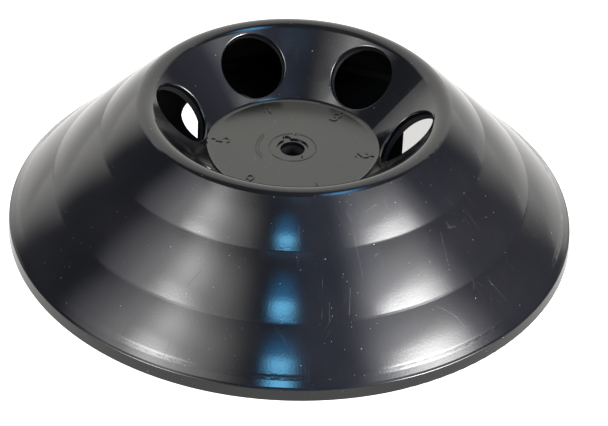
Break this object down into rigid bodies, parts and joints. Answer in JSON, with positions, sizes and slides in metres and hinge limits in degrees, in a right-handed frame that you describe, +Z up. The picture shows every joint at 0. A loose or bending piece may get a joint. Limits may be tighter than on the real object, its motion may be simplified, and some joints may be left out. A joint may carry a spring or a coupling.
{
  "type": "fixed angle rotor",
  "caption": "Cone shaped rotor for a small centrifuge, with slanted tube holes in an inner funnel round a flat numbered disc and a central shaft bore.",
  "frame": {"origin": "on the spin axis, in the plane of the bottom rim", "axes": "+Z up along the spin axis; the azimuths of the tube holes are 53.15 degrees plus steps of 60 degrees from +X"},
  "size_m": [0.19, 0.1899, 0.0481],
  "materials": {
    "body_black": "moulded gloss black, lightly scuffed",
    "plate_black": "plain moulded black"
  },
  "bodies": {
    "root": {"rotor_body": "body_black", "base_plate": "plate_black"}
  },
  "joints": []
}
